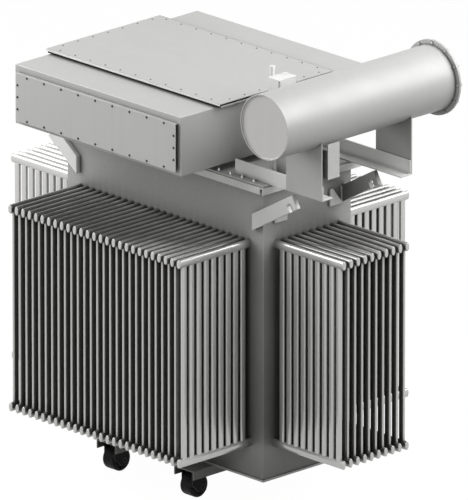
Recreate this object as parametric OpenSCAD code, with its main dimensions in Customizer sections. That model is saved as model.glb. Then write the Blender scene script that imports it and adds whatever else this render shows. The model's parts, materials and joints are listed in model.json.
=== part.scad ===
/* [Tank] */
// Length of the tank over its end walls
tank_length = 1510; // [1480:10:1700]
// Width of the tank over its long walls
tank_width = 650; // [620:10:800]
// Height of the tank's walls
tank_height = 1658; // [1640:2:1900]
// Thickness of the tank's wall plate
wall_thickness = 8; // [5:1:12]
// Thickness of the base plate
base_thickness = 12; // [8:1:20]
// How far the base plate stands out past the walls
base_lip = 8; // [2:1:20]

/* [Flange and cover] */
// How far the flange bars stand out from the long walls
flange_width = 50; // [40:1:70]
// How far the flange bars stand out from the end walls
flange_end_width = 50; // [44:1:70]
// Height of the flange bars
flange_height = 40; // [20:1:60]
// How far the long bars run on past the end walls
flange_run = 24; // [10:1:26]
// Thickness of the legs of the angles past the long bars' ends
flange_leg = 8; // [6:1:9]
// Thickness of the cover plate
cover_thickness = 12; // [8:1:20]
// How far the cover's edge lies inside the flange's edge
cover_inset = 6; // [0:1:20]

/* [Undercarriage] */
// Diameter of a wheel
wheel_diameter = 130; // [100:2:160]
// Width of a wheel
wheel_width = 80; // [50:2:90]
// Diameter of a wheel's axle
axle_diameter = 28; // [20:1:40]
// Running clearance around an axle
axle_clearance = 0.05; // [0.03:0.01:0.1]
// Height of the base plate's underside above the axles
axle_drop = 105; // [98:1:140]
// Distance between the wheels along the tank
wheel_gauge = 600; // [500:10:800]
// Distance between the wheels across the tank
wheel_base = 800; // [700:10:900]
// Width of a base channel
channel_width = 152; // [140:2:180]
// Height of a base channel
channel_height = 51; // [40:1:60]
// Thickness of a base channel's web and legs
channel_thickness = 8; // [5:1:10]
// How far a base channel runs on past the wheel centres
channel_overhang = 75; // [65:1:100]
// Thickness of a fork plate
fork_thickness = 8; // [6:1:12]
// How far a fork plate reaches towards the middle of the tank from the axle
fork_back = 27; // [24:1:40]
// How far a fork plate reaches below the axle
fork_toe = 25; // [22:1:40]
// Height of the shoulder where a wide fork plate starts to narrow, above the axle
fork_shoulder = 20; // [0:1:30]

/* [Radiators] */
// Spacing of the radiator panels on the long sides
panel_pitch = 50; // [40:1:54]
// Radiator panels in each of the three banks of a long side
bank_panels = 9; // [5:1:9]
// Spacing of the radiator panels on the ends
end_pitch = 52; // [40:1:54]
// Radiator panels on each end
end_panels = 10; // [6:1:10]
// Reach of a header from the wall
header_length = 527; // [515:1:600]
// Width of a header
header_width = 28; // [20:1:34]
// Height of a header
header_height = 50; // [40:1:60]
// Height of the lower headers above the base plate
lower_header_height = 190; // [120:5:260]
// Distance between the lower and upper headers
header_spacing = 1117; // [900:1:1140]
// Tubes in a panel
tube_count = 9; // [5:1:9]
// Spacing of the tubes
tube_pitch = 54; // [50:1:54]
// Distance of the first tube from the wall
first_tube = 53; // [40:1:60]
// Width of a tube along its header
tube_width = 38; // [30:1:48]
// Thickness of a tube
tube_thickness = 18; // [12:1:24]

/* [Lifting lugs] */
// Slope of a lug's bar on the right
lug_angle = 30; // [20:1:40]
// Slope of a lug's bar on the left
left_lug_angle = 37; // [20:1:40]
// Width of a lug's bar
lug_width = 80; // [70:1:100]
// Thickness of a lug's plate
lug_thickness = 28; // [12:1:30]
// Reach of a right lug's tip beyond the end wall
lug_reach = 265; // [220:1:300]
// Reach of a left lug's tip beyond the end wall
left_lug_reach = 151; // [140:1:220]
// Depth of a lug's tip below the top of the walls
lug_tip_drop = 30; // [20:1:60]
// Length of the lap of the front right lug on the long wall
lug_lap = 60; // [30:1:100]
// Length of the lap of the front left lug on the long wall
left_lug_lap = 98; // [30:1:100]
// Width of the hook's notch
notch_width = 36; // [24:1:44]
// Distance of the notch from the tip
notch_back = 52; // [46:1:70]
// Plate left above the notch
notch_roof = 32; // [24:1:44]
// Distance of a rear lug's plate from the rear wall
rear_lug_inset = 47; // [30:1:80]
// Width of a stiffener pad beside a lug
pad_width = 80; // [60:1:100]
// Height of a stiffener pad
pad_height = 95; // [70:1:110]
// Thickness of a stiffener pad
pad_thickness = 14; // [8:1:20]
// Width left at the narrow top and the low end of a stiffener pad
pad_nose = 20; // [10:1:30]
// Thickness of the strip beside a pad
strip_thickness = 10; // [6:1:16]
// Gap between a pad and its strip
strip_gap = 1; // [1:1:4]

/* [Terminal box] */
// Length of the box along the tank
box_length = 1281; // [1200:1:1300]
// Depth of the box across the tank
box_depth = 1348; // [1300:2:1400]
// Height of the box
box_height = 330; // [280:1:400]
// Thickness of the box's sheet
sheet_thickness = 4; // [2:0.5:6]
// How far the box's middle lies from the tank's middle, away from the conservator
box_offset = 150.5; // [130:0.5:160]
// Height of the plinth between the cover and the box
plinth_height = 49; // [30:1:80]
// How far the plinth stands in from the long faces of the box
plinth_inset = 394; // [380:1:420]
// How far the plinth stands in from the ends of the box
plinth_end_inset = 110; // [90:1:160]
// Thickness of the plinth's plates
plinth_thickness = 8; // [5:1:12]
// Height of the lid's tray
lid_height = 20; // [12:1:30]
// How far the lid stands out past the ends of the box
lid_overhang = 29; // [10:1:40]
// Depth of the lid across the tank
lid_depth = 840; // [760:2:900]
// How far a side panel stands proud of the box
panel_proud = 20; // [10:1:30]
// Margin between a side panel and the ends of the box
panel_margin = 25; // [15:1:40]
// Margin above a side panel
panel_top_margin = 38; // [20:1:50]
// Margin below a side panel
panel_low_margin = 22; // [15:1:40]

/* [Conservator] */
// Outer diameter of the conservator
drum_diameter = 360; // [320:2:400]
// Length of the conservator over its ends
drum_length = 1256; // [1150:2:1300]
// Thickness of the conservator's shell
drum_thickness = 6; // [4:1:10]
// Distance of the conservator's axis from the end wall
drum_reach = 319; // [300:1:340]
// Height of the conservator's axis above the cover
drum_height = 450; // [430:1:500]
// Depth of the rim around the closed end
rim_depth = 10; // [5:1:20]
// Thickness of the closed end's disc
end_thickness = 8; // [5:1:12]
// How far the flange at the open end stands out past the shell
drum_flange_rim = 27.5; // [27:0.5:40]
// Thickness of the flange and of its cover
drum_flange_thickness = 6; // [5:1:14]
// Distance of the flange's bolt circle from the shell
bolt_gap = 14; // [13:0.5:18]
// Diameter of the flange's bolt holes
bolt_hole = 14; // [10:1:16]
// Number of the flange's bolt holes
bolt_count = 12; // [8:1:16]

/* [Conservator support] */
// Height of a support angle's web
angle_height = 84; // [60:1:120]
// Width of a support angle's foot
angle_foot = 76; // [60:1:90]
// Thickness of a support angle
angle_thickness = 8; // [6:1:10]
// Distance between the outer faces of the two webs
angle_spread = 656; // [600:2:680]
// Lap of a support angle on the cover, measured from the end wall
angle_lap = 213; // [120:1:230]
// Width of a saddle plate
saddle_width = 269; // [250:1:290]
// Thickness of a saddle plate
saddle_thickness = 8; // [6:1:12]
// Gap of the weld between a saddle plate and the conservator
weld_gap = 0.2; // [0.1:0.1:0.5]
// Height of a saddle plate's lower edge above the foot of its angle
saddle_lift = 3; // [0:1:20]
// Depth of the saddle's cradle above the lowest point of the conservator
cradle_depth = 58; // [40:1:70]

/* [Rating plate] */
// Width of the blank rating plate
plate_width = 86; // [60:1:120]
// Height of the blank rating plate
plate_height = 197; // [120:1:200]
// Thickness of the blank rating plate
plate_thickness = 4; // [2:1:6]
// Distance of the rating plate from the web of the support angle
plate_gap = 40; // [20:1:60]
// Gap between the conservator and the top of the rating plate
plate_clearance = 21; // [10:1:40]
// Size of the square bars that carry the rating plate
plate_bar = 12; // [8:1:20]
// Depth of the upright strip behind the rating plate's edge
plate_strip_depth = 45; // [20:1:50]

/* [Oil relay and vent] */
// Diameter of the oil riser
riser_diameter = 60; // [48:1:76]
// Distance of the riser from the end wall, towards the middle
riser_inset = 55; // [50:1:90]
// Distance of the riser from the middle of the tank's width
riser_offset = 133; // [100:1:160]
// Height of the riser over the cover
riser_height = 407; // [400:1:470]
// Thickness of the riser's top flange
riser_flange_thickness = 12; // [8:1:16]
// Diameter of the riser's top flange
riser_flange_diameter = 100; // [90:1:110]
// Length of the relay along the tank
relay_length = 88; // [70:1:100]
// Width of the relay across the tank
relay_width = 129; // [90:1:140]
// Height of the relay
relay_height = 118; // [90:1:140]
// Diameter of the vent pipe
vent_diameter = 31; // [24:1:40]
// Distance of the vent pipe from the riser along the tank
vent_step = 70; // [68:1:90]
// Distance of the vent pipe from the riser across the tank
vent_shift = 5; // [0:1:40]
// Height of the vent pipe over the cover
vent_height = 581; // [560:1:640]
// Diameter of the pipe between the riser and the conservator
oil_pipe_diameter = 48; // [34:1:54]
// Height of that pipe over the cover
oil_pipe_height = 350; // [300:1:380]

/* [Hidden] */
// Share of a bar's thickness taken by its pointed edge
bar_nose = 0.35;
// Overrun of a cut past the face that it opens
cut = 1;
// Smoothness of round pieces
$fn = 64;

// Levels above the floor
axle_z = wheel_diameter / 2;
channel_top_z = axle_z + axle_drop;
base_top_z = channel_top_z + base_thickness;
wall_top_z = base_top_z + tank_height;
cover_top_z = wall_top_z + cover_thickness;
box_z = cover_top_z + plinth_height;
box_top_z = box_z + box_height;
lower_header_z = base_top_z + lower_header_height;
drum_z = cover_top_z + drum_height;

// Places along and across the tank
end_x = tank_length / 2;
side_y = tank_width / 2;
box_x0 = -box_offset - box_length / 2;
box_x1 = -box_offset + box_length / 2;
box_y = box_depth / 2;
drum_x = end_x + drum_reach;
drum_radius = drum_diameter / 2;
drum_flange_diameter = drum_diameter + 2 * drum_flange_rim;
bolt_circle = drum_diameter + 2 * bolt_gap;
angle_y = angle_spread / 2;
angle_x0 = end_x - angle_lap;
angle_x1 = drum_x + saddle_width / 2;
saddle_z0 = cover_top_z + saddle_lift;
saddle_z1 = drum_z - drum_radius + cradle_depth;
riser_x = end_x - riser_inset;
drum_end_y = drum_length / 2;
plate_back_x = angle_x1 - plate_thickness;
plate_y = -angle_y + plate_gap;
plate_top_z = under_drum(angle_x1) - plate_clearance;
plate_z = plate_top_z - plate_height;

// Height of the conservator's underside at a place along the tank
function under_drum(x) = drum_z - sqrt(pow(drum_radius, 2) - pow(x - drum_x, 2));

// A box given by its low and high corners
module slab(low, high) {
    translate(low)
        cube(high - low);
}

// The shape of its children and their mirror image across the middle of the tank's width
module both_sides() {
    children();
    mirror([0, 1, 0])
        children();
}

// The shape of its children and their mirror image across the middle of the tank's length
module both_ends() {
    children();
    mirror([1, 0, 0])
        children();
}

// A six-sided flat bar that stands on the floor of its own frame
module flat_bar(length, across, thick) {
    nose = thick * bar_nose;
    flat = across / 2 - nose;
    linear_extrude(length)
        polygon([[across / 2, 0], [flat, thick / 2], [-flat, thick / 2],
            [-across / 2, 0], [-flat, -thick / 2], [flat, -thick / 2]]);
}

module base_plate() {
    color("dimgray")
        slab([-end_x - base_lip, -side_y - base_lip, channel_top_z],
            [end_x + base_lip, side_y + base_lip, base_top_z]);
}

// The long wall on the front side, between the base plate and the cover
module long_wall() {
    slab([-end_x, -side_y, base_top_z], [end_x, -side_y + wall_thickness, wall_top_z]);
}

module tank_front_wall() {
    color("gray")
        long_wall();
}

module tank_rear_wall() {
    color("gray")
        mirror([0, 1, 0])
            long_wall();
}

module tank_end_walls() {
    inner_y = side_y - wall_thickness;
    color("gray")
        both_ends()
            slab([end_x - wall_thickness, -inner_y, base_top_z], [end_x, inner_y, wall_top_z]);
}

module flange_long_bars() {
    reach = end_x + flange_run;
    color("silver")
        both_sides()
            slab([-reach, -side_y - flange_width, wall_top_z - flange_height], [reach, -side_y, wall_top_z]);
}

// A bar on the end wall between the long bars, and an angle that closes their ends
module flange_end_bars() {
    low = wall_top_z - flange_height;
    inner = end_x + flange_run;
    outer = end_x + flange_end_width;
    reach = side_y + flange_width;
    color("silver")
        both_ends() {
            slab([end_x, -side_y, low], [inner + flange_leg, side_y, wall_top_z]);
            slab([inner, -reach, wall_top_z - flange_leg], [outer, reach, wall_top_z]);
            slab([outer - flange_leg, -reach, low], [outer, reach, wall_top_z]);
        }
}

module tank_cover() {
    x = end_x + flange_end_width - cover_inset;
    y = side_y + flange_width - cover_inset;
    color("silver")
        slab([-x, -y, wall_top_z], [x, y, cover_top_z]);
}

// One channel, open below, that carries a front and a rear wheel
module base_channel() {
    half = channel_width / 2;
    reach = wheel_base / 2 + channel_overhang;
    low = channel_top_z - channel_height;
    web_z = channel_top_z - channel_thickness;
    difference() {
        slab([-half, -reach, low], [half, reach, channel_top_z]);
        slab([-half + channel_thickness, -reach - cut, low - cut],
            [half - channel_thickness, reach + cut, web_z]);
    }
}

module base_channels() {
    color("dimgray")
        both_ends()
            translate([wheel_gauge / 2, 0, 0])
                base_channel();
}

// A plate beside a front wheel, drawn around its axle hole, that reaches the given length outwards
module fork_plate(reach) {
    top = axle_drop - channel_thickness;
    rotate([90, 0, 90])
        linear_extrude(fork_thickness)
            difference() {
                polygon([[-reach, top], [-reach, fork_shoulder], [-fork_back, -fork_toe],
                    [fork_back, -fork_toe], [fork_back, top]]);
                circle(d = axle_diameter + 2 * axle_clearance);
            }
}

// A wide plate and a narrow one against the insides of a channel's legs
module fork() {
    leg_face = channel_width / 2 - channel_thickness;
    translate([leg_face - fork_thickness, 0, 0])
        fork_plate(channel_overhang);
    translate([-leg_face, 0, 0])
        fork_plate(fork_back);
}

// Its children at the two front wheel centres
module at_front_wheels() {
    for (x = [-wheel_gauge / 2, wheel_gauge / 2])
        translate([x, -wheel_base / 2, axle_z])
            children();
}

module wheel_forks() {
    color("black")
        both_sides()
            at_front_wheels()
                fork();
}

module wheel_axles() {
    length = channel_width - 2 * channel_thickness;
    color("dimgray")
        both_sides()
            at_front_wheels()
                rotate([0, 90, 0])
                    cylinder(d = axle_diameter, h = length, center = true);
}

// A wheel on the corner given by the signs along and across the tank
module wheel(along, across) {
    bore = axle_diameter + 2 * axle_clearance;
    color("black")
        translate([along * wheel_gauge / 2, across * wheel_base / 2, axle_z])
            rotate([0, 90, 0])
                difference() {
                    cylinder(d = wheel_diameter, h = wheel_width, center = true);
                    cylinder(d = bore, h = wheel_width + 2 * cut, center = true);
                }
}

module front_left_wheel() {
    wheel(-1, -1);
}

module front_right_wheel() {
    wheel(1, -1);
}

module rear_left_wheel() {
    wheel(-1, 1);
}

module rear_right_wheel() {
    wheel(1, 1);
}

// A panel of upright tubes between two headers that leave the wall along +X
module radiator_panel() {
    for (z = [lower_header_z, lower_header_z + header_spacing])
        translate([0, 0, z])
            rotate([0, 90, 0])
                flat_bar(header_length, header_height, header_width);
    for (i = [0 : tube_count - 1])
        translate([first_tube + i * tube_pitch, 0, lower_header_z])
            flat_bar(header_spacing, tube_width, tube_thickness);
}

// One of the three banks on a long side: -1 left, 0 middle, 1 right
module long_side_bank(bank) {
    for (i = [0 : bank_panels - 1])
        translate([(bank * bank_panels + i - (bank_panels - 1) / 2) * panel_pitch, -side_y, 0])
            rotate([0, 0, -90])
                radiator_panel();
}

module rear_side_bank(bank) {
    mirror([0, 1, 0])
        long_side_bank(bank);
}

module end_bank() {
    for (i = [0 : end_panels - 1])
        translate([end_x, (i - (end_panels - 1) / 2) * end_pitch, 0])
            radiator_panel();
}

module front_radiator_left() {
    color("darkgray")
        long_side_bank(-1);
}

module front_radiator_middle() {
    color("darkgray")
        long_side_bank(0);
}

module front_radiator_right() {
    color("darkgray")
        long_side_bank(1);
}

module rear_radiator_left() {
    color("darkgray")
        rear_side_bank(-1);
}

module rear_radiator_middle() {
    color("darkgray")
        rear_side_bank(0);
}

module rear_radiator_right() {
    color("darkgray")
        rear_side_bank(1);
}

module left_end_radiator() {
    color("darkgray")
        mirror([1, 0, 0])
            end_bank();
}

module right_end_radiator() {
    color("darkgray")
        end_bank();
}

// Outline of a lug's hooked bar from the end wall outwards, starting a lap behind the wall's face
module lug_outline(slope, reach, lap) {
    half = lug_width / 2;
    lean = [-sin(slope), cos(slope)] * half;
    tip = [reach, wall_top_z - lug_tip_drop];
    root_mid = tip[1] - (reach + lap) * tan(slope);
    root_half = half / cos(slope);
    notch_radius = notch_width / 2;
    difference() {
        polygon([[-lap, root_mid - root_half], tip - lean, tip + lean, [-lap, root_mid + root_half]]);
        translate(tip)
            rotate(slope)
                translate([-notch_back, half - notch_roof - notch_radius]) {
                    circle(r = notch_radius);
                    translate([-notch_radius, -lug_width])
                        square([notch_width, lug_width]);
                }
    }
}

// A lug on the front wall and one behind it on the end wall
module lug_pair(slope, reach, lap) {
    translate([end_x, -side_y, 0])
        rotate([90, 0, 0])
            linear_extrude(lug_thickness)
                lug_outline(slope, reach, lap);
    translate([end_x, side_y - rear_lug_inset, 0])
        rotate([90, 0, 0])
            linear_extrude(lug_thickness)
                lug_outline(slope, reach, 0);
}

module lifting_lugs() {
    color("silver") {
        lug_pair(lug_angle, lug_reach, lug_lap);
        mirror([1, 0, 0])
            lug_pair(left_lug_angle, left_lug_reach, left_lug_lap);
    }
}

// A trapezium of plate flat on the end wall where a lug leaves it, and a strip of the same height beyond it
module lug_pad(slope, reach) {
    inner_y = side_y - rear_lug_inset - lug_thickness - strip_thickness - strip_gap - pad_width;
    low = wall_top_z - lug_tip_drop - reach * tan(slope) - pad_height / 2;
    translate([end_x, inner_y, low])
        rotate([90, 0, 90])
            linear_extrude(pad_thickness) {
                polygon([[0, 0], [pad_width, 0], [pad_width, pad_nose], [pad_nose, pad_height],
                    [0, pad_height]]);
                translate([pad_width + strip_gap, 0])
                    square([strip_thickness, pad_height]);
            }
}

module lug_pads() {
    color("silver") {
        both_sides()
            lug_pad(lug_angle, lug_reach);
        mirror([1, 0, 0])
            both_sides()
                lug_pad(left_lug_angle, left_lug_reach);
    }
}

// Four plates on edge, with the end plates welded between the long ones
module box_plinth() {
    x0 = box_x0 + plinth_end_inset;
    x1 = box_x1 - plinth_end_inset;
    y = box_y - plinth_inset;
    t = plinth_thickness;
    inner_y = y - t - weld_gap;
    color("gray") {
        both_sides()
            slab([x0, -y, cover_top_z], [x1, -y + t, box_z]);
        for (x = [x0, x1 - t])
            slab([x, -inner_y, cover_top_z], [x + t, inner_y, box_z]);
    }
}

module box_floor() {
    color("lightgray")
        slab([box_x0, -box_y, box_z], [box_x1, box_y, box_z + sheet_thickness]);
}

// The long side of the box at the front, between its floor and its top
module box_long_wall() {
    slab([box_x0, -box_y, box_z + sheet_thickness],
        [box_x1, -box_y + sheet_thickness, box_top_z - sheet_thickness]);
}

module box_front_wall() {
    color("lightgray")
        box_long_wall();
}

module box_rear_wall() {
    color("lightgray")
        mirror([0, 1, 0])
            box_long_wall();
}

module box_end_walls() {
    inner_y = box_y - sheet_thickness;
    color("lightgray")
        for (x = [box_x0, box_x1 - sheet_thickness])
            slab([x, -inner_y, box_z + sheet_thickness],
                [x + sheet_thickness, inner_y, box_top_z - sheet_thickness]);
}

module box_top() {
    color("lightgray")
        slab([box_x0, -box_y, box_top_z - sheet_thickness], [box_x1, box_y, box_top_z]);
}

// A tray turned upside down over the middle of the box's top
module box_lid() {
    x0 = box_x0 - lid_overhang;
    x1 = box_x1 + lid_overhang;
    y = lid_depth / 2;
    t = sheet_thickness;
    color("lightgray")
        difference() {
            slab([x0, -y, box_top_z], [x1, y, box_top_z + lid_height]);
            slab([x0 + t, -y + t, box_top_z - cut], [x1 - t, y - t, box_top_z + lid_height - t]);
        }
}

// A tray on the front face of the box
module side_panel() {
    x0 = box_x0 + panel_margin;
    x1 = box_x1 - panel_margin;
    z0 = box_z + panel_low_margin;
    z1 = box_top_z - panel_top_margin;
    t = sheet_thickness;
    difference() {
        slab([x0, -box_y - panel_proud, z0], [x1, -box_y, z1]);
        slab([x0 + t, -box_y - panel_proud + t, z0 + t], [x1 - t, -box_y + cut, z1 - t]);
    }
}

module front_panel() {
    color("lightgray")
        side_panel();
}

module rear_panel() {
    color("lightgray")
        mirror([0, 1, 0])
            side_panel();
}

// Its children with their own +Z along the conservator, from the given place on its axis
module along_drum(y) {
    translate([drum_x, y, drum_z])
        rotate([-90, 0, 0])
            children();
}

module conservator_shell() {
    length = drum_length - 2 * drum_flange_thickness;
    color("lightgray")
        along_drum(-drum_end_y)
            difference() {
                cylinder(d = drum_diameter, h = length);
                translate([0, 0, -cut])
                    cylinder(d = drum_diameter - 2 * drum_thickness, h = length + 2 * cut);
            }
}

module conservator_end() {
    color("lightgray")
        along_drum(-drum_end_y + rim_depth)
            cylinder(d = drum_diameter - 2 * drum_thickness - 2 * weld_gap, h = end_thickness);
}

// Round holes on the flange's bolt circle
module bolt_holes() {
    for (i = [0 : bolt_count - 1])
        rotate([0, 0, i * 360 / bolt_count])
            translate([bolt_circle / 2, 0, -cut])
                cylinder(d = bolt_hole, h = drum_flange_thickness + 2 * cut, $fn = 32);
}

module conservator_flange() {
    color("lightgray")
        along_drum(drum_end_y - 2 * drum_flange_thickness)
            difference() {
                cylinder(d = drum_flange_diameter, h = drum_flange_thickness);
                translate([0, 0, -cut])
                    cylinder(d = drum_diameter - 2 * drum_thickness, h = drum_flange_thickness + 2 * cut);
                bolt_holes();
            }
}

module conservator_cover() {
    color("lightgray")
        along_drum(drum_end_y - drum_flange_thickness)
            difference() {
                cylinder(d = drum_flange_diameter, h = drum_flange_thickness);
                bolt_holes();
            }
}

// An angle on the cover with its web outwards and its foot inwards
module support_angle() {
    t = angle_thickness;
    slab([angle_x0, -angle_y, cover_top_z], [angle_x1, -angle_y + t, cover_top_z + angle_height]);
    slab([angle_x0, -angle_y, cover_top_z], [angle_x1, -angle_y + angle_foot, cover_top_z + t]);
}

module support_angles() {
    color("silver")
        both_sides()
            support_angle();
}

// A plate on the outside of an angle's web, cut to the round of the conservator
module saddle_plate() {
    difference() {
        slab([drum_x - saddle_width / 2, -angle_y - saddle_thickness, saddle_z0],
            [drum_x + saddle_width / 2, -angle_y, saddle_z1]);
        along_drum(-drum_end_y)
            cylinder(r = drum_radius + weld_gap, h = drum_length);
    }
}

module saddle_plates() {
    color("silver")
        both_sides()
            saddle_plate();
}

module rating_plate() {
    color("lightgray")
        slab([plate_back_x, plate_y, plate_z], [angle_x1, plate_y + plate_width, plate_top_z]);
}

// Two square bars from the saddle plate to an upright strip behind the rating plate
module plate_bar_bracket() {
    strip_x = plate_back_x - plate_strip_depth;
    color("gray") {
        for (z = [plate_z + plate_bar, plate_z + plate_height / 2])
            slab([strip_x, -angle_y, z], [strip_x + plate_bar, plate_y + plate_bar, z + plate_bar]);
        slab([strip_x, plate_y, plate_z],
            [plate_back_x, plate_y + plate_bar, under_drum(strip_x) - plate_clearance]);
    }
}

module oil_riser() {
    color("lightgray")
        translate([riser_x, -riser_offset, cover_top_z]) {
            cylinder(d = riser_diameter, h = riser_height);
            translate([0, 0, riser_height])
                cylinder(d = riser_flange_diameter, h = riser_flange_thickness);
        }
}

module oil_relay() {
    color("white")
        translate([riser_x - relay_length / 2, -riser_offset - relay_width / 2,
            cover_top_z + riser_height + riser_flange_thickness])
            cube([relay_length, relay_width, relay_height]);
}

module vent_pipe() {
    color("white")
        translate([riser_x - vent_step, -riser_offset - vent_shift, cover_top_z])
            cylinder(d = vent_diameter, h = vent_height);
}

// A level pipe from the riser to the side of the conservator
module oil_pipe() {
    run = drum_x - riser_x;
    color("lightgray")
        difference() {
            translate([riser_x, -riser_offset, cover_top_z + oil_pipe_height])
                rotate([0, 90, 0])
                    cylinder(d = oil_pipe_diameter, h = run);
            translate([riser_x, -riser_offset, cover_top_z])
                cylinder(d = riser_diameter + 2 * weld_gap, h = riser_height);
            along_drum(-drum_end_y)
                cylinder(r = drum_radius + weld_gap, h = drum_length);
        }
}

base_plate();
tank_front_wall();
tank_rear_wall();
tank_end_walls();
flange_long_bars();
flange_end_bars();
tank_cover();
base_channels();
wheel_forks();
wheel_axles();
front_left_wheel();
front_right_wheel();
rear_left_wheel();
rear_right_wheel();
front_radiator_left();
front_radiator_middle();
front_radiator_right();
rear_radiator_left();
rear_radiator_middle();
rear_radiator_right();
left_end_radiator();
right_end_radiator();
lifting_lugs();
lug_pads();
box_plinth();
box_floor();
box_front_wall();
box_rear_wall();
box_end_walls();
box_top();
box_lid();
front_panel();
rear_panel();
conservator_shell();
conservator_end();
conservator_flange();
conservator_cover();
support_angles();
saddle_plates();
rating_plate();
plate_bar_bracket();
oil_riser();
oil_relay();
vent_pipe();
oil_pipe();
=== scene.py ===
"""Looks of an oil-immersed transformer, laid out as a small add-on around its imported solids."""

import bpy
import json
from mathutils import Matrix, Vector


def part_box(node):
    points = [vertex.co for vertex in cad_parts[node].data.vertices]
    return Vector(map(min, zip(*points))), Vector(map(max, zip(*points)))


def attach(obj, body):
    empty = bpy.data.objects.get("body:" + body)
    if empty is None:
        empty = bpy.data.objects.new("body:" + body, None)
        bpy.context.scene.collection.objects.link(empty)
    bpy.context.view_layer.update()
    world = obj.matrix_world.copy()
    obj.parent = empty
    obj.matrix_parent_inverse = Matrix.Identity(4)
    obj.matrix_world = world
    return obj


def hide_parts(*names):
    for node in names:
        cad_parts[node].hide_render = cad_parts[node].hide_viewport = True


bl_info = {
    "name": "Oil-immersed transformer",
    "version": (1, 0, 0),
    "blender": (4, 5, 0),
    "location": "View3D > Sidebar > Transformer",
    "description": "Dresses the tank, radiators, terminal box and conservator of a transformer",
    "category": "Object",
}

import json
import math

import bmesh
import bpy
from bpy.props import FloatProperty, FloatVectorProperty, IntProperty, PointerProperty
from bpy.types import Operator, Panel, PropertyGroup
from mathutils import Matrix, Vector

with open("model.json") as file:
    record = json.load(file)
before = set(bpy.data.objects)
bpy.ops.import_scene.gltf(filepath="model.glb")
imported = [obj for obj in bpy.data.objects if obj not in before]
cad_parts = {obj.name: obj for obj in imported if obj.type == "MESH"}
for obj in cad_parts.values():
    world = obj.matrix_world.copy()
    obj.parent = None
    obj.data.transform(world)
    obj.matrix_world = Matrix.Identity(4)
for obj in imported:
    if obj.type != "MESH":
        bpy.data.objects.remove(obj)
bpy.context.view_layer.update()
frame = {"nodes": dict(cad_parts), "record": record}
FINISHES = {}

TANK = "tank"
X_AXIS = Vector((1, 0, 0))
Y_AXIS = Vector((0, 1, 0))
Z_AXIS = Vector((0, 0, 1))
MERGE_DISTANCE = 1e-5
FLAT_ANGLE = math.radians(1)
SMOOTH_ANGLE = math.radians(40)
ROUND_PROFILE = 0.5
THIN_EDGE = 0.5
UNIT_RADIUS = 0.5
COLLAR_TAPER = 0.42

# Proportions of bolts, studs and screws, as shares of their width.
HEAD_RADIUS = 0.5
HEAD_RISE = 0.36
WASHER_RADIUS = 0.62
WASHER_RISE = 0.12
NUT_RISE = 0.4
STUD_RADIUS = 0.28
STUD_RISE = 0.8
STUD_TIP = 0.3
SCREW_RISE = 0.35
SCREW_CROWN = 0.3

CAMERA_TARGET = Vector((0.093, 0.097, 1.218))
SENSOR_WIDTH = 36.0
FAR_CLIP = 300.0
LAMP_TARGET = Vector((0.1, 0.0, 1.3))
LAMP_DISTANCE = 6.5
WHITE = (1, 1, 1, 1)
FLOOR_SIZE = 60.0
FLOOR_GLOW = 0.98
FLOOR_SHADE = (0.05, 0.05, 0.05, 1)
FLOOR_BOUNCE = (0.2, 0.2, 0.2, 1)


def length(name, description, default):
    """A length in metres that a user may change."""
    return FloatProperty(name=name, description=description, default=default, unit="LENGTH", precision=4)


def colour(name, where, default):
    """A linear colour that a user may change."""
    return FloatVectorProperty(
        name=name, description="Colour of " + where, default=default, subtype="COLOR", min=0.0, max=1.0
    )


def share(name, description, default):
    """A share from 0 to 1 that a user may change."""
    return FloatProperty(
        name=name, description=description, default=default, min=0.0, max=1.0, subtype="FACTOR"
    )


def angle(name, description, degrees):
    """An angle that a user may change."""
    return FloatProperty(name=name, description=description, default=math.radians(degrees), subtype="ANGLE")


class TransformerFinishes(PropertyGroup):
    """Colours and gloss of the paints and metals, with lighter copies as painted light and the depth of
    painted shade in recesses.
    """

    grey: colour("Grey paint", "the tank, box and drum", (0.56, 0.56, 0.55))
    # A lighter copy of the grey for the rim, beams, lugs and lips, standing in for the light they catch:
    # painted light.
    fitting: colour("Lit grey paint", "the rim, beams and lugs", (0.84, 0.84, 0.82))
    # Lighter than the grey, for the light on the end disc: painted light.
    disc: colour("Lit drum end paint", "the conservator's end disc", (0.68, 0.67, 0.65))
    grey_gloss: share("Grey roughness", "Roughness of the grey paint", 0.42)
    drum_gloss: share("Drum roughness", "Roughness of the conservator's paint", 0.5)
    radiator: colour("Radiator paint", "the radiators", (0.67, 0.67, 0.65))
    # Lighter than the radiator paint, for the light on the left end bank: painted light.
    far_radiator: colour("Lit radiator paint", "the left end's radiators", (0.74, 0.74, 0.72))
    radiator_gloss: share("Radiator roughness", "Roughness of the radiator paint", 0.2)
    dark: colour("Undercarriage paint", "the base channels", (0.42, 0.42, 0.41))
    white: colour("White paint", "the oil relay and the vent", (0.92, 0.92, 0.91))
    iron: colour("Roller iron", "the cast rollers", (0.024, 0.024, 0.025))
    zinc: colour("Zinc", "the plated bolts", (0.62, 0.63, 0.64))
    screw: colour("Screws", "the dark panel and lid screws", (0.05, 0.05, 0.052))
    rubber: colour("Gasket rubber", "the lid and panel gaskets", (0.012, 0.012, 0.013))
    plate: colour("Plate metal", "the blank rating plate", (0.5, 0.5, 0.49))
    black: colour("Fork paint", "the roller forks and axles", (0.008, 0.008, 0.008))
    # Depth of the painted shade that darkens the paint in recesses.
    recess_shade: share("Painted shade in recesses", "How much deep recesses darken", 0.7)


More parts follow.
